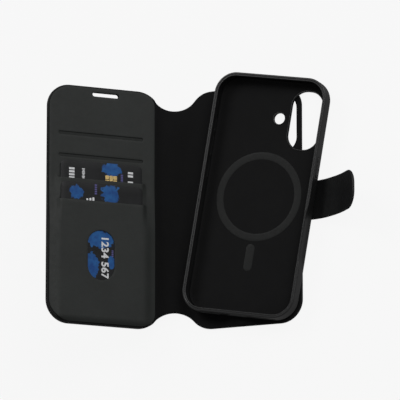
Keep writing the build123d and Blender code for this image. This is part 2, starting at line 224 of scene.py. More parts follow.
def planar(border, loops, xs, ys, offsets):
    """Fills a border with triangles. Rows of points follow the loops at the offsets."""
    points, edges = [], []

    def chain(line, keep):
        index = {}
        for i in np.flatnonzero(keep):
            index[i] = len(points)
            points.append(line[i])
        count = len(line)
        for i in index:
            j = (i + 1) % count
            if j in index:
                edges.append((index[i], index[j]))

    holes = loops[1:]
    chain(border, np.ones(len(border), bool))
    for hole in holes:
        chain(hole, np.ones(len(hole), bool))
    for offset in offsets:
        for number, loop in enumerate(loops):
            ring = inset(loop, offset if number == 0 else -offset)
            keep = inside(ring, border) & (distance_to(ring, loops) > offset * 0.97)
            keep &= distance_to(ring, [border]) > min(offset * 0.97, 0.3)
            chain(ring, keep)
    last = max(offsets, default=0)
    pace = max(np.diff(xs).min(), 0.3)
    grid = np.stack(np.meshgrid(xs, ys), -1).reshape(-1, 2)
    keep = inside(grid, border)
    for hole in holes:
        keep &= ~inside(grid, hole)
    grid = grid[keep]
    grid = grid[distance_to(grid, loops) > last + 0.35 * pace]
    grid = grid[distance_to(grid, [border]) > 0.35 * pace]
    points += list(grid)
    made = delaunay_2d_cdt([Vector(p) for p in points], edges, [], 0, 1e-5)
    flat = np.array([tuple(v) for v in made[0]])
    faces = np.array([f for f in made[2] if len(f) == 3])
    centre = flat[faces].mean(1)
    keep = inside(centre, border)
    for hole in holes:
        keep &= ~inside(centre, hole)
    faces = faces[keep]
    a, b, c = (flat[faces[:, i]] for i in range(3))
    area = (b[:, 0] - a[:, 0]) * (c[:, 1] - a[:, 1]) - (b[:, 1] - a[:, 1]) * (c[:, 0] - a[:, 0])
    faces[area < 0] = faces[area < 0][:, ::-1]
    faces = faces[np.abs(area) > 1e-7]
    used = np.unique(faces)
    place = np.full(len(flat), -1)
    place[used] = np.arange(len(used))
    return flat[used], place[faces]


def open_edges(faces):
    """The edges that only one triangle has, each in that triangle's direction."""
    seen = {}
    for f in faces:
        for a, b in ((f[0], f[1]), (f[1], f[2]), (f[2], f[0])):
            seen[(a, b)] = True
    return [e for e in seen if (e[1], e[0]) not in seen]


def make_mesh(name, points, faces, flat, material, sharp=50.0):
    """A smooth-shaded object from points in millimetres.

    flat is each point's place on the unfolded sheet.
    """
    mesh = bpy.data.meshes.new(name)
    mesh.from_pydata((np.asarray(points, float) * MM).tolist(), [], [list(map(int, f)) for f in faces])
    mesh.validate()
    mesh.update()
    mesh.shade_smooth()
    mesh.set_sharp_from_angle(angle=math.radians(sharp))
    if len(flat) == len(mesh.vertices):
        layer = mesh.attributes.new("flat", "FLOAT_VECTOR", "POINT")
        layer.data.foreach_set("vector", np.asarray(flat, np.float32).ravel())
    mesh.materials.append(material)
    obj = bpy.data.objects.new(name, mesh)
    bpy.context.scene.collection.objects.link(obj)
    return obj


def fall(distance, radius):
    """How far a rounded edge drops at a distance from it."""
    if not radius:
        return np.zeros(len(distance))
    d = np.clip(distance, 0, radius)
    return radius - np.sqrt(np.maximum(radius ** 2 - (radius - d) ** 2, 0))


def sheet(name, border, loops, xs, ys, top, bottom, place, edge, material, rows=()):
    """A closed sheet between two height functions, with rounded edges along the loops."""
    edge_top, edge_bottom = edge
    reach = max(edge)
    round_rows = {round(reach * share, 4) for share in (0.08, 0.3, 0.62, 1.0)} if reach else set()
    offsets = sorted(round_rows | set(rows))
    flat, faces = planar(border, loops, xs, ys, offsets)
    away = distance_to(flat, loops)
    z_top = top(flat, away) - fall(away, edge_top)
    z_bottom = bottom(flat, away) + fall(away, edge_bottom)
    count = len(flat)
    points = np.concatenate([np.column_stack([flat, z_top]), np.column_stack([flat, z_bottom])])
    walls = [(a + count, b + count, b, a) for a, b in open_edges(faces)]
    every = [tuple(f) for f in faces] + [tuple(f[::-1] + count) for f in faces] + walls
    return make_mesh(name, place(points), every, points, material)


def level(z):
    return lambda flat, away: np.full(len(flat), float(z))


def smooth(low, high, x):
    t = np.clip((x - low) / (high - low), 0, 1)
    return t * t * (3 - 2 * t)


# Places

def bend(points, at, height, zone, angle, side):
    """Turns everything beyond an X position up by an angle, through a smooth curve."""
    u, z = side * (points[:, 0] - at), points[:, 2] - height
    turn = angle * np.clip((u + zone) / (2 * zone), 0, 1)
    radius = zone / math.tan(angle / 2)
    beyond, before = np.maximum(u - zone, 0), np.minimum(u + zone, 0)
    along = -zone + radius * np.sin(turn) + beyond * math.cos(angle) + before - np.sin(turn) * z
    rise = radius * (1 - np.cos(turn)) + beyond * math.sin(angle) + np.cos(turn) * z
    return np.column_stack([at + side * along, points[:, 1], height + rise])


def folded(points):
    points = bend(points, FOLD_B_X, FOLD_Z, FOLD_ZONE, REST_FOLD, -1)
    return bend(points, FOLD_X, FOLD_Z, FOLD_ZONE, REST_FOLD, -1)


def on_strap(points):
    mid_at, tip_at = EDGE_X + STUB_LEN, EDGE_X + STUB_LEN + MID_LEN
    points = points + (0, STRAP_Y, STRAP_Z)
    points = bend(points, tip_at, STRAP_Z, STRAP_ZONE, TIP_RISE - MID_RISE, 1)
    points = bend(points, mid_at, STRAP_Z, STRAP_ZONE, MID_RISE - STUB_RISE, 1)
    return bend(points, EDGE_X, STRAP_Z, 2.0, STUB_RISE, 1)


def on_case(points):
    c, s = math.cos(case_turn), math.sin(case_turn)
    x, y = points[:, 0], points[:, 1] - RING_Y
    return np.column_stack([
        ring_centre[0] + x * c + y * s, ring_centre[1] - x * s + y * c, CASE_Z + points[:, 2],
    ])


# Materials

def nodes_of(name):
    material = bpy.data.materials.new(name)
    material.use_nodes = True
    tree = material.node_tree
    return material, tree, tree.nodes["Principled BSDF"]


class Maker:
    """Short ways to add shader nodes to one tree."""

    def __init__(self, tree, space="flat"):
        self.tree = tree
        if space == "flat":
            node = tree.nodes.new("ShaderNodeAttribute")
            node.attribute_name = "flat"
            self.place = node.outputs["Vector"]
        else:
            self.place = tree.nodes.new("ShaderNodeTexCoord").outputs["Object"]

    def link(self, a, b):
        self.tree.links.new(a, b)

    def noise(self, scale, detail=3.0, roughness=0.5):
        node = self.tree.nodes.new("ShaderNodeTexNoise")
        node.inputs["Scale"].default_value = scale
        node.inputs["Detail"].default_value = detail
        node.inputs["Roughness"].default_value = roughness
        self.link(self.place, node.inputs["Vector"])
        return node.outputs["Fac"]

    def cells(self, scale, feature="F1", smoothness=None):
        node = self.tree.nodes.new("ShaderNodeTexVoronoi")
        node.feature = feature
        node.inputs["Scale"].default_value = scale
        if smoothness is not None:
            node.inputs["Smoothness"].default_value = smoothness
        self.link(self.place, node.inputs["Vector"])
        return node.outputs["Distance"]

    def math(self, operation, a, b=0.0, c=0.0):
        node = self.tree.nodes.new("ShaderNodeMath")
        node.operation = operation
        for slot, value in zip(node.inputs, (a, b, c)):
            if isinstance(value, (int, float)):
                slot.default_value = value
            else:
                self.link(value, slot)
        return node.outputs[0]

    def spread(self, value, low, high):
        node = self.tree.nodes.new("ShaderNodeMapRange")
        node.inputs["From Min"].default_value = 0.3
        node.inputs["From Max"].default_value = 0.7
        node.inputs["To Min"].default_value = low
        node.inputs["To Max"].default_value = high
        self.link(value, node.inputs["Value"])
        return node.outputs["Result"]

    def mix(self, share, a, b):
        node = self.tree.nodes.new("ShaderNodeMix")
        node.data_type = "RGBA"
        self.link(share, node.inputs[0])
        for slot, value in ((node.inputs[6], a), (node.inputs[7], b)):
            if isinstance(value, tuple):
                slot.default_value = (*value, 1)
            else:
                self.link(value, slot)
        return node.outputs[2]

    def bump(self, height, strength, distance, before=None):
        node = self.tree.nodes.new("ShaderNodeBump")
        node.inputs["Strength"].default_value = strength
        node.inputs["Distance"].default_value = distance * MM
        self.link(height, node.inputs["Height"])
        if before is not None:
            self.link(before, node.inputs["Normal"])
        return node.outputs["Normal"]


def shade(colour, factor):
    return tuple(c * factor for c in colour)


def leather(name, colour, roughness=(0.46, 0.58), grain=1.1, specular=0.4):
    """Artificial leather: small pebbles with creases between them, painted shade darkening the creases, and
    faint cloudiness.
    """
    material, tree, out = nodes_of(name)
    m = Maker(tree)
    pebbles = m.cells(grain, "SMOOTH_F1", 0.35)
    creases = m.cells(grain * 0.45, "DISTANCE_TO_EDGE")
    fine = m.noise(grain * 3.2, 4.0, 0.6)
    cloud = m.noise(0.05, 3.0)
    height = m.math("ADD", m.math("MULTIPLY", pebbles, -0.7), m.math("MULTIPLY", fine, 0.35))
    edge = m.math("MINIMUM", m.math("MULTIPLY", creases, 5.0), 1.0)
    normal = m.bump(edge, 0.12, 0.05, m.bump(height, 0.22, 0.06))
    tone = m.mix(m.spread(cloud, 0.0, 1.0), shade(colour, 0.88), shade(colour, 1.14))
    # Painted shade: the colour darkens from each pebble's middle into the creases between pebbles, where
    # the bump sinks.
    tone_with_valley_shade = m.mix(m.spread(pebbles, 0.0, 0.35), tone, shade(colour, 0.72))
    m.link(tone_with_valley_shade, out.inputs["Base Color"])
    m.link(m.spread(m.noise(0.35, 4.0), *roughness), out.inputs["Roughness"])
    m.link(normal, out.inputs["Normal"])
    out.inputs["Specular IOR Level"].default_value = specular
    return material


def microfibre(name, colour, nap=0.12, sheen=0.12):
    """Brushed microfibre: a dense nap with brushed clouds, and a painted sheen lightening the raised fibre
    tips.
    """
    material, tree, out = nodes_of(name)
    m = Maker(tree)
    hair = m.noise(4.2, 4.0, 0.7)
    brushed = m.noise(0.11, 5.0, 0.62)
    tone = m.mix(m.spread(brushed, 0.0, 1.0), shade(colour, 0.85), shade(colour, 1.2))
    # Painted sheen: the raised fibres of the nap, where the bump is highest, are made up to 1.7 times
    # lighter.
    tone_with_tip_sheen = m.mix(m.spread(hair, 0.0, 0.5), tone, shade(colour, 1.7))
    m.link(tone_with_tip_sheen, out.inputs["Base Color"])
    m.link(m.spread(hair, 0.82, 0.97), out.inputs["Roughness"])
    m.link(m.bump(hair, 0.5, nap), out.inputs["Normal"])
    out.inputs["Specular IOR Level"].default_value = 0.2
    out.inputs["Sheen Weight"].default_value = sheen
    out.inputs["Sheen Roughness"].default_value = 0.5
    out.inputs["Sheen Tint"].default_value = (0.5, 0.5, 0.52, 1)
    return material


def moulded(name, colour, roughness=(0.34, 0.46), space="flat", texture=0.025, specular=0.5):
    """Moulded rubbery plastic with a fine spark-eroded surface."""
    material, tree, out = nodes_of(name)
    m = Maker(tree, space)
    unit = 1.0 if space == "flat" else 1 / MM
    fine = m.noise(5.0 * unit, 3.0, 0.65)
    cloud = m.noise(0.06 * unit, 3.0)
    tone = m.mix(m.spread(cloud, 0.0, 1.0), shade(colour, 0.9), shade(colour, 1.12))
    m.link(tone, out.inputs["Base Color"])
    m.link(m.spread(m.noise(0.5 * unit, 4.0), *roughness), out.inputs["Roughness"])
    m.link(m.bump(fine, 0.3, texture), out.inputs["Normal"])
    out.inputs["Specular IOR Level"].default_value = specular
    return material


def metal(name, colour, roughness=(0.22, 0.4), space="flat"):
    material, tree, out = nodes_of(name)
    m = Maker(tree, space)
    unit = 1.0 if space == "flat" else 1 / MM
    grain = m.noise(2.5 * unit, 5.0, 0.7)
    tone = m.mix(m.spread(m.noise(0.3 * unit, 3.0), 0.0, 1.0), shade(colour, 0.86), shade(colour, 1.08))
    m.link(tone, out.inputs["Base Color"])
    m.link(m.spread(grain, *roughness), out.inputs["Roughness"])
    m.link(m.bump(grain, 0.15, 0.01), out.inputs["Normal"])
    out.inputs["Metallic"].default_value = 1.0
    return material


def card_face(name, patches, base=(0.0055, 0.0058, 0.0065)):
    """A laminated card printed with cloudy blue patches, each (middle, half size) on the flat leaf."""
    material, tree, out = nodes_of(name)
    m = Maker(tree)
    split = tree.nodes.new("ShaderNodeSeparateXYZ")
    m.link(m.place, split.inputs[0])
    warp = m.math("SUBTRACT", m.noise(0.34, 5.0, 0.6), 0.5)
    mask = None
    for (cx, cy), (rx, ry) in patches:
        dx = m.math("DIVIDE", m.math("SUBTRACT", split.outputs[0], cx), rx)
        dy = m.math("DIVIDE", m.math("SUBTRACT", split.outputs[1], cy), ry)
        reach = m.math("SQRT", m.math("ADD", m.math("MULTIPLY", dx, dx), m.math("MULTIPLY", dy, dy)))
        value = m.math("SUBTRACT", 1.0, m.math("ADD", reach, m.math("MULTIPLY", warp, 1.6)))
        mask = value if mask is None else m.math("MAXIMUM", mask, value)
    edge = m.math("MINIMUM", m.math("MAXIMUM", m.math("MULTIPLY", mask, 9.0), 0.0), 1.0)
    blue = m.mix(m.spread(m.noise(0.3, 3.0, 0.5), 0.0, 1.0), (0.006, 0.06, 0.24), (0.014, 0.12, 0.36))
    ground = m.mix(m.spread(m.noise(0.12, 3.0), 0.0, 1.0), base, shade(base, 1.9))
    m.link(m.mix(edge, ground, blue), out.inputs["Base Color"])
    m.link(m.spread(m.noise(0.6, 3.0), 0.38, 0.48), out.inputs["Roughness"])
    out.inputs["Specular IOR Level"].default_value = 0.25
    m.link(m.bump(m.noise(2.0, 3.0), 0.1, 0.01), out.inputs["Normal"])
    out.inputs["Coat Weight"].default_value = 0.05
    out.inputs["Coat Roughness"].default_value = 0.2
    return material


def printed(name, colour):
    material, tree, out = nodes_of(name)
    m = Maker(tree)
    tone = m.mix(m.spread(m.noise(0.9, 4.0), 0.0, 1.0), shade(colour, 0.86), colour)
    m.link(tone, out.inputs["Base Color"])
    m.link(m.spread(m.noise(1.5, 3.0), 0.3, 0.42), out.inputs["Roughness"])
    return material


black_leather = leather("black_leather", (0.006, 0.0061, 0.0063), specular=0.22)
panel_leather = leather("panel_leather", (0.0195, 0.0222, 0.0206), (0.5, 0.6), 1.6, 0.33)
# Painted shade: a darker, duller copy of the panel leather for the pocket backing, so the slits look shaded
# inside.
shaded_slit_leather = leather("shaded_slit_leather", (0.0175, 0.0197, 0.0185), (0.55, 0.65), 1.6, 0.25)
strap_leather = leather("strap_leather", (0.009, 0.0092, 0.0095), (0.42, 0.52), 1.6, 0.3)
wallet_lining = microfibre("wallet_lining", (0.0034, 0.0034, 0.0036))
case_pad = microfibre("case_pad", (0.0048, 0.0048, 0.005))
case_tpu = moulded("case_tpu", (0.0085, 0.0087, 0.009), (0.36, 0.48), specular=0.6)
print_tpu = moulded("print_tpu", (0.0055, 0.0061, 0.0059), (0.5, 0.6), specular=0.3)
key_plastic = moulded("key_plastic", (0.01, 0.0102, 0.0105), (0.3, 0.4))
gold = metal("gold_contacts", (0.83, 0.6, 0.25))
nickel = metal("nickel_magnets", (0.55, 0.55, 0.56), space="object")
white_print = printed("white_print", (0.85, 0.86, 0.88))
violet_print = printed("violet_print", (0.1, 0.09, 0.3))


# Wallet body

wallet = wallet_outline()
window = divided(rounded(*WINDOW, turn=14), 2.5)
earpiece = divided(rounded(leaf_x(EARPIECE[0]), EARPIECE[1], EARPIECE[2], EARPIECE[3],
                           EARPIECE[3] / 2 - 0.01, turn=9), 1.5)


def columns(low, high, coarse, fine_near=(), reach=FOLD_ZONE + 1, fine=0.7):
    """X positions, closer together near the folds."""
    xs, x = [], low
    while x < high:
        xs.append(x)
        x += fine if any(abs(x - f) < reach for f in fine_near) else coarse
    return np.array(xs)


rows_y = np.arange(-LEAF_H / 2, LEAF_H / 2 + 0.1, 2.4)
folds = (FOLD_X, FOLD_B_X)


def from_spine(flat):
    """Distance beyond the nearer fold line, negative on the spine."""
    return np.abs(flat[:, 0] - SPINE_MID) - SPINE_W / 2


def leather_top(flat, away=None):
    """The leather climbs onto the stiffener boards, more gently on the back leaf."""
    beyond = from_spine(flat)
    climb = np.where(flat[:, 0] > SPINE_MID, smooth(1.0, 12.0, beyond), smooth(3.0, 4.8, beyond))
    return SPINE_T + (LEAF_T - SPINE_T) * climb


def lining_top(flat, away=None):
    return leather_top(flat) + LINING_T


def lift(flat):
    """How far the stacked cards raise the margins of the front leaf, falling off towards its rim."""
    beyond = FOLD_B_X - flat[:, 0]
    rise = MOUTH_RISE[0] * smooth(17, -2, flat[:, 1]) + MOUTH_RISE[1] * smooth(3, -16, flat[:, 1])
    side = CARD_W / 2 + 0.6
    outer = 1 - 0.5 * smooth(PANEL_MID + side, LEAF_W - 1.2, beyond)
    inner = 1 - 0.5 * smooth(PANEL_MID - side, PANEL_START + 0.4, beyond)
    foot = 1 - 0.35 * smooth(-71.8, -74.8, flat[:, 1])
    return rise * np.minimum(outer, inner) * foot


def front_top(flat, away):
    """The front leaf's rim stands up beside the card panel."""
    rim = (1 - smooth(1.15, 1.9, away)) * smooth(PANEL_START, PANEL_START + 1, from_spine(flat))
    return leather_top(flat) + rim * lift(flat)


def half(low, high, loop):
    return divided(clipped(loop, low, high), 2.4)


FAR = 400.0              # beyond the end of any sheet
back_leather = sheet(
    "back_leather", half(SPINE_MID, FAR, wallet), [wallet, window],
    columns(SPINE_MID + 1.2, EDGE_X, 2.6, folds), rows_y,
    leather_top, level(0), folded, (0.35, 0.42), black_leather)
front_leather = sheet(
    "front_leather", half(-FAR, SPINE_MID, wallet), [wallet, earpiece],
    columns(leaf_x(LEAF_W), SPINE_MID - 1.2, 2.6, folds), rows_y,
    front_top, level(0), folded, (0.35, 0.42), black_leather, rows=(1.15, 1.4, 1.65, 1.9))

lining_outline = inset(wallet, 0.3)
lining_window = divided(
    rounded(*WINDOW[:2], WINDOW[2] + 0.5, WINDOW[3] + 0.5, WINDOW[4] + 0.2, turn=14), 2.5)
lining_bottom = lambda flat, away: leather_top(flat) - 0.12
back_lining = sheet(
    "back_lining_cloth", half(SPINE_MID, FAR, lining_outline), [lining_outline, lining_window],
    columns(SPINE_MID + 1.2, EDGE_X, 2.6, folds), rows_y,
    lining_top, lining_bottom, folded, (0.3, 0.0), wallet_lining)
spine_lining = sheet(
    "front_lining_cloth", half(leaf_x(6.4), SPINE_MID, lining_outline), [lining_outline],
    columns(leaf_x(6.4) + 0.4, SPINE_MID - 1.2, 1.6, folds), rows_y,
    lambda flat, away: lining_top(flat) - 0.12 * smooth(2.5, 5.0, from_spine(flat)),
    lining_bottom, folded, (0.3, 0.0), wallet_lining)

for piece, pair, at, stands_for, slot in (
    (back_leather, ("back_cover", "spine"), FOLD_X, ("back_skin", "back_board"), "outer_leather"),
    (front_leather, ("spine", "front_cover"), FOLD_B_X, ("front_skin", "front_board", "spine_skin"),
     "outer_leather"),
    (back_lining, ("back_cover", "spine"), FOLD_X, ("back_lining",), "microfibre"),
    (spine_lining, ("spine", "front_cover"), FOLD_B_X, ("front_fold_lining", "spine_lining"), "microfibre"),
):
    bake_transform(piece)
    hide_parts(*stands_for)


# Card panel

panel_loop = clipped(inset(wallet, PANEL_INSET), -FAR, leaf_x(PANEL_START))
inner_x = leaf_x(PANEL_START)
for sign in (1, -1):
    side = panel_loop[np.abs(panel_loop[:, 0] - inner_x) < 0.01]
    corner = side[np.argmax(sign * side[:, 1])]
    panel_loop = softened(divided(panel_loop, 1.0), corner, 3.2)
panel_loop = divided(distinct(panel_loop), 2.0)


def slot_loop(middle, y, length, height, turn=7, longest=1.6):
    radius = min(length, height) / 2 - 0.01
    return divided(rounded(leaf_x(middle), y, length, height, radius, turn=turn), longest)


slits = [slot_loop(PANEL_MID, y, SLIT_LEN, SLIT_H) for y in SLIT_YS]
mouths = [slot_loop(PANEL_MID, y + MOUTH_SLIT / 2, SLIT_LEN, MOUTH_SLIT, turn=4, longest=1.2)
          for y in MOUTHS]
thumb = slot_loop(*THUMB, turn=16)


def panel_top(flat, away=None):
    """The panel steps up over each card below the slit it enters, and its margins follow gently."""
    across = np.abs(flat[:, 0] - leaf_x(PANEL_MID))
    step = sum(np.where(flat[:, 1] < mouth + MOUTH_SLIT / 2, rise, 0.0)
               for mouth, rise in zip(MOUTHS, MOUTH_RISE))
    margin = smooth(0.4, 2.6, across - CARD_W / 2)
    foot = 1 - 0.35 * smooth(-72.2, -74.8, flat[:, 1])
    return PANEL_Z + (1 - margin) * step * foot + margin * lift(flat)


def panel_bottom(flat, away=None):
    return np.maximum(panel_top(flat) - PANEL_T, LEAF_T + 0.02)


panel = sheet(
    "card_leather", panel_loop, [panel_loop, *slits, *mouths, thumb, earpiece],
    columns(leaf_x(LEAF_W), inner_x, 1.5), np.arange(-75.0, 75.1, 1.5),
    panel_top, panel_bottom, folded, (0.22, 0.12), panel_leather)
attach(panel, "front_cover")
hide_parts("card_panel", "pocket_divider", "pocket_front", "pocket_rails")

backing_loop = inset(panel_loop, 0.5)
# The pocket backing wears the darker copy of the panel leather: painted shade showing inside the slits.
backing = sheet(
    "pocket_backing_cloth", backing_loop, [backing_loop, inset(earpiece, -0.3)],
    columns(leaf_x(LEAF_W), inner_x, 4.0), np.arange(-75.0, 75.1, 4.0),
    level(LEAF_T + 0.3), level(LEAF_T - 0.1), folded, (0.1, 0.0), shaded_slit_leather)
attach(backing, "front_cover")
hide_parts("pocket_backing")


# Cards

def card(name, body, node, number, material):
    y = MOUTHS[number] + CARD_SHOWS - CARD_H / 2
    z = CARD_ZS[number]
    loop = divided(rounded(leaf_x(PANEL_MID), y, CARD_W, CARD_H, CARD_CORNER, turn=10), 3.0)
    piece = sheet(name, loop, [loop], columns(leaf_x(PANEL_MID + 27), leaf_x(PANEL_MID - 27), 4.0),
                  np.arange(y - 42, y + 43, 4.0), level(z + CARD_T), level(z), folded,
                  (0.16, 0.16), material)
    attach(piece, body)
    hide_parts(node)
    return z + CARD_T


def patch(t_low, t_high, y_low, y_high, grow=1.25):
    return ((leaf_x((t_low + t_high) / 2), (y_low + y_high) / 2),
            (grow * (t_high - t_low) / 2, grow * (y_high - y_low) / 2))


upper_art = card_face("upper_card_print", [patch(28.5, 38.4, 19.5, 27.2), patch(24, 30, -20, -4),
                                            patch(40, 60, -40, -12)])
lower_art = card_face("lower_card_print", [
    patch(54.0, 61.5, 3.5, 10.5), patch(30.2, 39.7, 2.5, 12.5), patch(32.6, 48.5, -26.3, -16.9),
    patch(43.2, 50.2, -45.4, -31.6), patch(32.2, 36.1, -39.4, -32.0)])
upper_z = card("upper_card_sheet", "upper_card", "upper_card", 0, upper_art)
lower_z = card("lower_card_sheet", "lower_card", "lower_card", 1, lower_art)


def decal(name, loops, z, material, body, thickness=0.03):
    """Thin shapes printed or laid on a card, joined into one piece."""
    points, faces, total = [], [], 0
    for loop in loops:
        count = len(loop)
        middle = loop.mean(0)
        low, high = np.full(count, z - 0.02), np.full(count, z + thickness)
        ring = np.concatenate([np.column_stack([loop, high]), np.column_stack([loop, low]),
                               [[*middle, z + thickness], [*middle, z - 0.02]]])
        for i in range(count):
            j = (i + 1) % count
            faces.append((total + i, total + j, total + 2 * count))
            faces.append((total + count + j, total + count + i, total + 2 * count + 1))
            faces.append((total + count + i, total + count + j, total + j, total + i))
        points.append(ring)
        total += len(ring)
    points = np.concatenate(points)
    piece = make_mesh(name, folded(points), faces, points, material, 35.0)
    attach(piece, body)
    return piece


def bars(t, y_high, y_low, height, pattern):
    """A run of small upright blocks down the leaf, such as a blanked-out line of print."""
    pace = (y_high - y_low) / len(pattern)
    return [rounded(leaf_x(t), y_high - (i + 0.5) * pace, height * size, pace * 0.68, 0.12, turn=3)
            for i, size in enumerate(pattern) if size]


decal("upper_card_print_blocks",
      bars(60.3, 22.9, 15.3, 3.6, (1, 1, 1, 1)) + bars(21.4, 23.2, 15.2, 3.4, (1, 1, 0, 1))
      + bars(52.6, 22.7, 15.2, 1.9, (1, 0.7, 1, 1, 0.6, 1, 0.8, 1)),
      upper_z, white_print, "upper_card")
decal("upper_card_print_fine", bars(27.1, 20.9, 15.2, 1.5, (1, 1, 1, 1, 1)), upper_z, violet_print,
      "upper_card")
decal("lower_card_print_fine",
      bars(44.8, 13.0, 6.2, 1.5, (1, 1, 1, 1, 1)) + bars(33.6, -28.0, -32.4, 1.2, (1, 1, 1, 1)),
      lower_z, violet_print, "lower_card")
decal("lower_card_print_blocks", [rounded(leaf_x(t), 2.9, 1.3, h, 0.4, turn=3)
                                  for t, h in ((50.4, 1.2), (48.4, 2.1), (46.4, 3.0))],
      lower_z, white_print, "lower_card")

digits = bpy.data.curves.new("digits", "FONT")
digits.body = "1234 567"
digits.size = 5.6 * MM
digits.extrude = 0.02 * MM
digits.offset = 0.17 * MM
digits.space_character = 1.04
letters = bpy.data.objects.new("digits", digits)
bpy.context.scene.collection.objects.link(letters)
bpy.context.view_layer.update()
shape = bpy.data.meshes.new_from_object(letters.evaluated_get(bpy.context.evaluated_depsgraph_get()))
bpy.data.objects.remove(letters)
points = np.array([v.co for v in shape.vertices]) / MM
points -= (points.min(0) + points.max(0)) / 2
points = np.column_stack([leaf_x(DIGITS_MID) + points[:, 1] * DIGITS_TALL,
                          DIGITS_Y - points[:, 0] * DIGITS_WIDE, lower_z + 0.02 + points[:, 2]])
number = make_mesh("lower_card_digits", folded(points), [tuple(p.vertices) for p in shape.polygons], points,
                   white_print, 35.0)
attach(number, "lower_card")

chip_x, chip_y = leaf_x(CHIP_MID), MOUTHS[0] + CARD_SHOWS - CHIP_TOP - CHIP_H / 2
pads = [rounded(chip_x + sx * 2.6, chip_y + y, 2.5, 2.3, 0.4, turn=4)
        for sx in (-1, 1) for y in (-4.1, -1.4, 1.4, 4.1)]
pads.append(rounded(chip_x, chip_y, 2.1, 10.6, 0.5, turn=4))
contacts = decal("chip_contacts", pads, upper_z, gold, "upper_card", 0.06)
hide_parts("upper_card_chip")


# Case

def case_ring(inward, turn=12):
    """The case outline drawn in, with the same number of points whatever the distance."""
    radius = max(CASE_CORNER - inward, 0.5)
    x, y = CASE_W / 2 - CASE_CORNER, CASE_H / 2 - CASE_CORNER
    shrink = max(inward - (CASE_CORNER - 0.5), 0)
    x, y = x - shrink, y - shrink
    out = []
    for sx, sy, start in ((1, -1, -90), (1, 1, 0), (-1, 1, 90), (-1, -1, 180)):
        out.append(arc(sx * x, sy * y, radius, start, start + 90, turn))
    loop = []
    for i, part in enumerate(out):
        following = out[(i + 1) % 4][0]
        count = 90 if i % 2 == 0 else 30
        straight = [part[-1] + (following - part[-1]) * k / count for k in range(1, count)]
        loop.append(part)
        loop.append(np.array(straight))
    return np.concatenate(loop)


def scooped(loop, inward, z):
    """Presses the finger recess into the right wall."""
    from_middle = np.abs(loop[:, 1] - SCOOP_Y)
    depth = SCOOP_DEPTH * (1 - smooth(SCOOP_HALF - 2, SCOOP_HALF + SCOOP_RAMP - 2, from_middle))
    depth *= smooth(2.6, 4.4, np.full(len(loop), z)) * np.clip((1.65 - inward) / 1.3, 0, 1)
    on_right = loop[:, 0] > CASE_W / 2 - inward - 0.01
    return np.column_stack([loop[:, 0] - np.where(on_right, depth, 0), loop[:, 1]])


def quarter(inward, z, radius, start, end, count=6):
    """Profile points round a corner, as (inward, z)."""
    return [(inward + radius * math.cos(math.radians(a)), z + radius * math.sin(math.radians(a)))
            for a in np.linspace(start, end, count)]


FLOOR_EDGE = 4.4
profile = [(FLOOR_EDGE, 0.0), (3.3, 0.0)]
profile += quarter(2.9, 2.9, 2.9, 262, 180, 9)
profile += [(0.0, 4.6), (0.0, 6.2), (0.0, 8.6)]
profile += quarter(0.6, 9.75, 0.6, 180, 90, 7)
profile += [(0.95, 10.36), (1.08, 10.22), (1.2, 10.02), (1.34, 9.96), (1.5, 10.02)]
profile += quarter(1.85, 9.72, 0.4, 120, 0, 7)
profile += [(2.2, 9.5), (2.02, 9.36), (1.62, 9.2), (1.5, 9.0), (1.5, 6.0), (1.5, 2.9)]
profile += quarter(2.8, 2.9, 1.3, 180, 270, 6)
profile += [(3.6, CASE_FLOOR), (FLOOR_EDGE, CASE_FLOOR)]

pill = divided(rounded(*PILL, turn=16), 1.6)
flash = arc(*FLASH, 0, 360, 37)[:-1]
rim_rows = (0.1, 0.3, 0.6, 0.85, 1.05)
floor_loop = case_ring(FLOOR_EDGE)
hole_flat, hole_faces = planar(
    floor_loop, [floor_loop, pill, flash], np.arange(-36, 36.1, 4.0), np.arange(-74, 74.1, 4.0), rim_rows)


def bead(away):
    """The raised lip round each hole in the floor."""
    return 0.62 * smooth(0, 0.32, away) * (1 - smooth(0.62, 1.02, away)) - 0.3 * (1 - smooth(0, 0.14, away))


count = len(hole_flat)
away = distance_to(hole_flat, [pill, flash])
floor_top = np.column_stack([hole_flat, CASE_FLOOR + bead(away)])
floor_under = np.column_stack([hole_flat, fall(away, 0.5)])
body_points, body_faces = [floor_top, floor_under], []
body_faces += [tuple(f) for f in hole_faces]
body_faces += [tuple(f[::-1] + count) for f in hole_faces]
for a, b in open_edges(hole_faces):
    if distance_to(hole_flat[[a, b]], [pill, flash]).max() < 0.01:
        body_faces.append((a + count, b + count, b, a))
start = 2 * count
length = len(floor_loop)
for inward, z in profile:
    body_points.append(np.column_stack([scooped(case_ring(inward), inward, z), np.full(length, z)]))
for k in range(len(profile) - 1):
    low, high = start + k * length, start + (k + 1) * length
    for i in range(length):
        j = (i + 1) % length
        body_faces.append((low + i, low + j, high + j, high + i))
body_points = np.concatenate(body_points)
shell = make_mesh("case_body", on_case(body_points), body_faces, body_points, case_tpu, 42.0)
weld = shell.modifiers.new("weld", "WELD")
weld.merge_threshold = 0.00002


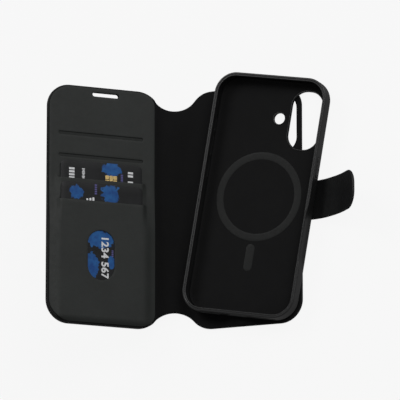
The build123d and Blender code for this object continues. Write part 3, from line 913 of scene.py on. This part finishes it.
def stadium_prism(side, y, length, height, inner, outer, z=KEY_Z, crown=0.0, levels=6):
    """A bar with round ends through a side wall, with a crowned outer end."""
    base = divided(rounded(0, 0, length, height, height / 2 - 0.01, turn=8), 1.5)
    steps = [(inner, 0.0), (outer - crown, 0.0)]
    steps += [(outer - crown + crown * math.sin(t), crown * (1 - math.cos(t)))
              for t in np.linspace(0, math.pi / 2, levels)[1:]] if crown else []
    rings = []
    for x, drawn in steps:
        loop = inset(base, drawn) if drawn else base
        rings.append(np.column_stack([np.full(len(loop), side * x), y + loop[:, 0], z + loop[:, 1]]))
    count = len(base)
    faces = [tuple(range(count))[::-1 if side > 0 else 1]]
    faces += [tuple((k * count + i, k * count + (i + 1) % count, (k + 1) * count + (i + 1) % count,
                     (k + 1) * count + i)[::side])
              for k in range(len(rings) - 1) for i in range(count)]
    last = (len(rings) - 1) * count
    faces.append(tuple(range(last, last + count))[::1 if side > 0 else -1])
    return np.concatenate(rings), faces


def cutter(parts):
    points, faces, total = [], [], 0
    for p, f in parts:
        points.append(p)
        faces += [tuple(i + total for i in face) for face in f]
        total += len(p)
    return np.concatenate(points), faces


cut_parts = [stadium_prism(s, y, length + 0.3, KEY_T + 0.3, 34.6, 39.5) for s, y, length in KEYS.values()]
for x, width, height in PORTS:
    loop = divided(rounded(x, KEY_Z, width, height, height / 2 - 0.01, turn=8), 1.5)
    n = len(loop)
    near = np.column_stack([loop[:, 0], np.full(n, -77.0), loop[:, 1]])
    far = np.column_stack([loop[:, 0], np.full(n, -72.6), loop[:, 1]])
    faces = [tuple(range(n)), tuple(range(n, 2 * n))[::-1]]
    faces += [(i, n + i, n + (i + 1) % n, (i + 1) % n) for i in range(n)]
    cut_parts.append((np.concatenate([near, far]), faces))
cut_points, cut_faces = cutter(cut_parts)
knife = make_mesh("knife", on_case(cut_points), cut_faces, cut_points, case_tpu)
cut = shell.modifiers.new("cut", "BOOLEAN")
cut.operation = "DIFFERENCE"
cut.object = knife
cut.solver = "EXACT"
bpy.context.view_layer.update()
finished = bpy.data.meshes.new_from_object(shell.evaluated_get(bpy.context.evaluated_depsgraph_get()))
shell.modifiers.clear()
shell.data = finished
bpy.data.objects.remove(knife)
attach(shell, "case")
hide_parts("case_shell")

for name, (side, y, length) in KEYS.items():
    points, faces = stadium_prism(side, y, length, KEY_T, 35.8, 37.75, crown=0.45)
    key = make_mesh(name + "_cap", on_case(points), faces, points, key_plastic, 40.0)
    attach(key, name)
    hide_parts(name)

pad_loop = case_ring(1.95)
pad_holes = [divided(rounded(PILL[0], PILL[1], PILL[2] + 2, PILL[3] + 2, PILL[4] + 1, turn=16), 1.6),
             arc(FLASH[0], FLASH[1], FLASH[2] + 1.0, 0, 360, 37)[:-1]]
pad = sheet("case_pad_cloth", pad_loop, [pad_loop, *pad_holes],
            np.arange(-36, 36.1, 3.0), np.arange(-74, 74.1, 3.0),
            lambda flat, away: 2.0 + 0.9 * (1 - smooth(0, 1.0, distance_to(flat, [pad_loop]))),
            level(CASE_FLOOR - 0.1), on_case, (0.12, 0.0), case_pad, rows=(0.35, 0.7, 1.0))
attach(pad, "case")
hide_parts("case_lining")

ring_outer = arc(0, RING_Y, RING_R, 0, 360, 97)[:-1]
ring_inner = arc(0, RING_Y, RING_R - RING_BAND, 0, 360, 97)[:-1]
bar_loop = divided(rounded(*BAR, BAR[2] / 2 - 0.01, turn=12), 1.6)
for name, loops in (("case_ring_print", [ring_outer, ring_inner]), ("case_bar_print", [bar_loop])):
    mark = sheet(name, loops[0], loops, np.arange(-30, 30.1, 1.5), np.arange(-50, 30.1, 1.5),
                 level(2.07), level(1.9), on_case, (0.12, 0.0), print_tpu)
    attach(mark, "case")

back_loop = inset(case_ring(3.5), 0.03)
back_holes = [divided(rounded(PILL[0], PILL[1], PILL[2] + 2.4, PILL[3] + 2.4, PILL[4] + 1.2, turn=16), 1.6),
              arc(FLASH[0], FLASH[1], FLASH[2] + 1.2, 0, 360, 37)[:-1]]
case_back = sheet("case_back_leather", back_loop, [back_loop, *back_holes], np.arange(-36, 36.1, 3.0),
                  np.arange(-74, 74.1, 3.0), level(0.5), level(-0.03), on_case, (0.0, 0.12), black_leather)
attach(case_back, "case")
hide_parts("case_back_skin")


# Strap

root_end = EDGE_X + STUB_LEN + MID_LEN / 2
tip_end = EDGE_X + STUB_LEN + MID_LEN + TIP_LEN


def strap_loop(width):
    tip, corner = width / 2, STRAP_CORNER
    loop = np.concatenate([
        arc(tip_end - corner, -tip + corner, corner, -90, 0, 14),
        arc(tip_end - corner, tip - corner, corner, 0, 90, 14),
        [[EDGE_X - STRAP_TONGUE, tip], [EDGE_X - STRAP_TONGUE, -tip]],
    ])
    return divided(distinct(loop), 1.6)


for layer, width, low, high, material, slot, edge in (
    ("skin", STRAP_W, -STRAP_T, 0.0, black_leather, "outer_leather", (0.05, 0.55)),
    ("lining", STRAP_W - 0.5, -0.05, STRAP_T, strap_leather, "strap_leather", (0.5, 0.0)),
):
    loop = strap_loop(width)
    for part, first, last, pair, at in (
        ("root", EDGE_X - 1.0, root_end, ("back_cover", "strap_mid"), EDGE_X + STUB_LEN),
        ("end", root_end, tip_end + 1, ("strap_mid", "strap_tip"), EDGE_X + STUB_LEN + MID_LEN),
    ):
        border = divided(clipped(loop, first, last), 1.6)
        piece = sheet(f"strap_{part}_{layer}", border, [loop], np.arange(first + 0.8, last, 0.8),
                      np.arange(-12, 12.1, 1.6), level(high), level(low), on_strap, edge, material)
        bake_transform(piece)
        nodes = {"root": (f"strap_stub_{layer}", f"strap_mid_{layer}"), "end": (f"strap_tip_{layer}",)}
        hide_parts(*nodes[part])

for node in ("back_magnet_ring", "back_alignment_magnet", "front_closure_plate", "case_magnet_ring",
             "case_alignment_magnet", "strap_magnet"):
    frame["nodes"][node].data.materials.clear()
    frame["nodes"][node].data.materials.append(nickel)


# Stage

floor_material, _, floor_out = nodes_of("pale_floor")
floor_out.inputs["Base Color"].default_value = (0.05, 0.05, 0.05, 1)
floor_out.inputs["Roughness"].default_value = 0.9
floor_out.inputs["Specular IOR Level"].default_value = 0.0
floor_out.inputs["Emission Color"].default_value = (1, 1, 1, 1)
floor_out.inputs["Emission Strength"].default_value = 0.9
floor_mesh = bpy.data.meshes.new("floor")
FLOOR_HALF, FLOOR_Z = 5.0, -0.0002
floor_mesh.from_pydata([(x * FLOOR_HALF, y * FLOOR_HALF, FLOOR_Z)
                        for x, y in ((-1, -1), (1, -1), (1, 1), (-1, 1))], [], [(0, 1, 2, 3)])
floor_mesh.materials.append(floor_material)
floor = bpy.data.objects.new("floor", floor_mesh)
bpy.context.scene.collection.objects.link(floor)
floor.visible_glossy = floor.visible_diffuse = False

world = bpy.data.worlds.new("studio")
bpy.context.scene.world = world
world.use_nodes = True
world.node_tree.nodes["Background"].inputs["Color"].default_value = (1, 1, 1, 1)
world.node_tree.nodes["Background"].inputs["Strength"].default_value = 0.2


def area_light(name, place, target, size, power):
    light = bpy.data.lights.new(name, "AREA")
    light.shape = "RECTANGLE"
    light.size, light.size_y = size
    light.energy = power
    obj = bpy.data.objects.new(name, light)
    obj.location = place
    obj.rotation_mode = "QUATERNION"
    obj.rotation_quaternion = (Vector(target) - Vector(place)).to_track_quat("-Z", "Y")
    bpy.context.scene.collection.objects.link(obj)


area_light("soft_right", (1.1, 0.9, 1.5), (0, 0, 0), (1.2, 1.2), 14)
area_light("low_right", (1.4, 1.3, 0.3), (0.05, 0.04, 0), (0.5, 0.5), 4.5)
area_light("soft_left", (-1.1, 1.1, 1.5), (0, 0, 0), (0.9, 0.9), 12)

CAMERA_DISTANCE, CAMERA_LENS = 3.237, 468.0
AIM_RIGHT, AIM_UP = 0.00731, 0.0074        # from the back fold line, across the picture
spin, tilt = math.radians(22.0), math.radians(13.0)
z_axis = Vector((math.sin(spin) * math.cos(tilt), -math.sin(tilt), math.cos(spin) * math.cos(tilt)))
x_axis = Vector((0, 1, 0)).cross(z_axis).normalized()
y_axis = z_axis.cross(x_axis)
target = Vector(fold_a * MM) + x_axis * AIM_RIGHT + y_axis * AIM_UP
camera = bpy.data.objects.new("camera", bpy.data.cameras.new("camera"))
bpy.context.scene.collection.objects.link(camera)
camera.data.sensor_width = 36.0
camera.data.lens = CAMERA_LENS
camera.matrix_world = Matrix((
    (x_axis.x, y_axis.x, z_axis.x, 0), (x_axis.y, y_axis.y, z_axis.y, 0), (x_axis.z, y_axis.z, z_axis.z, 0),
    (0, 0, 0, 1)))
camera.location = target + z_axis * CAMERA_DISTANCE
camera.data.clip_start, camera.data.clip_end = 0.05, 50.0
bpy.context.scene.camera = camera
bpy.context.scene.view_settings.view_transform = "Standard"

bpy.context.view_layer.update()
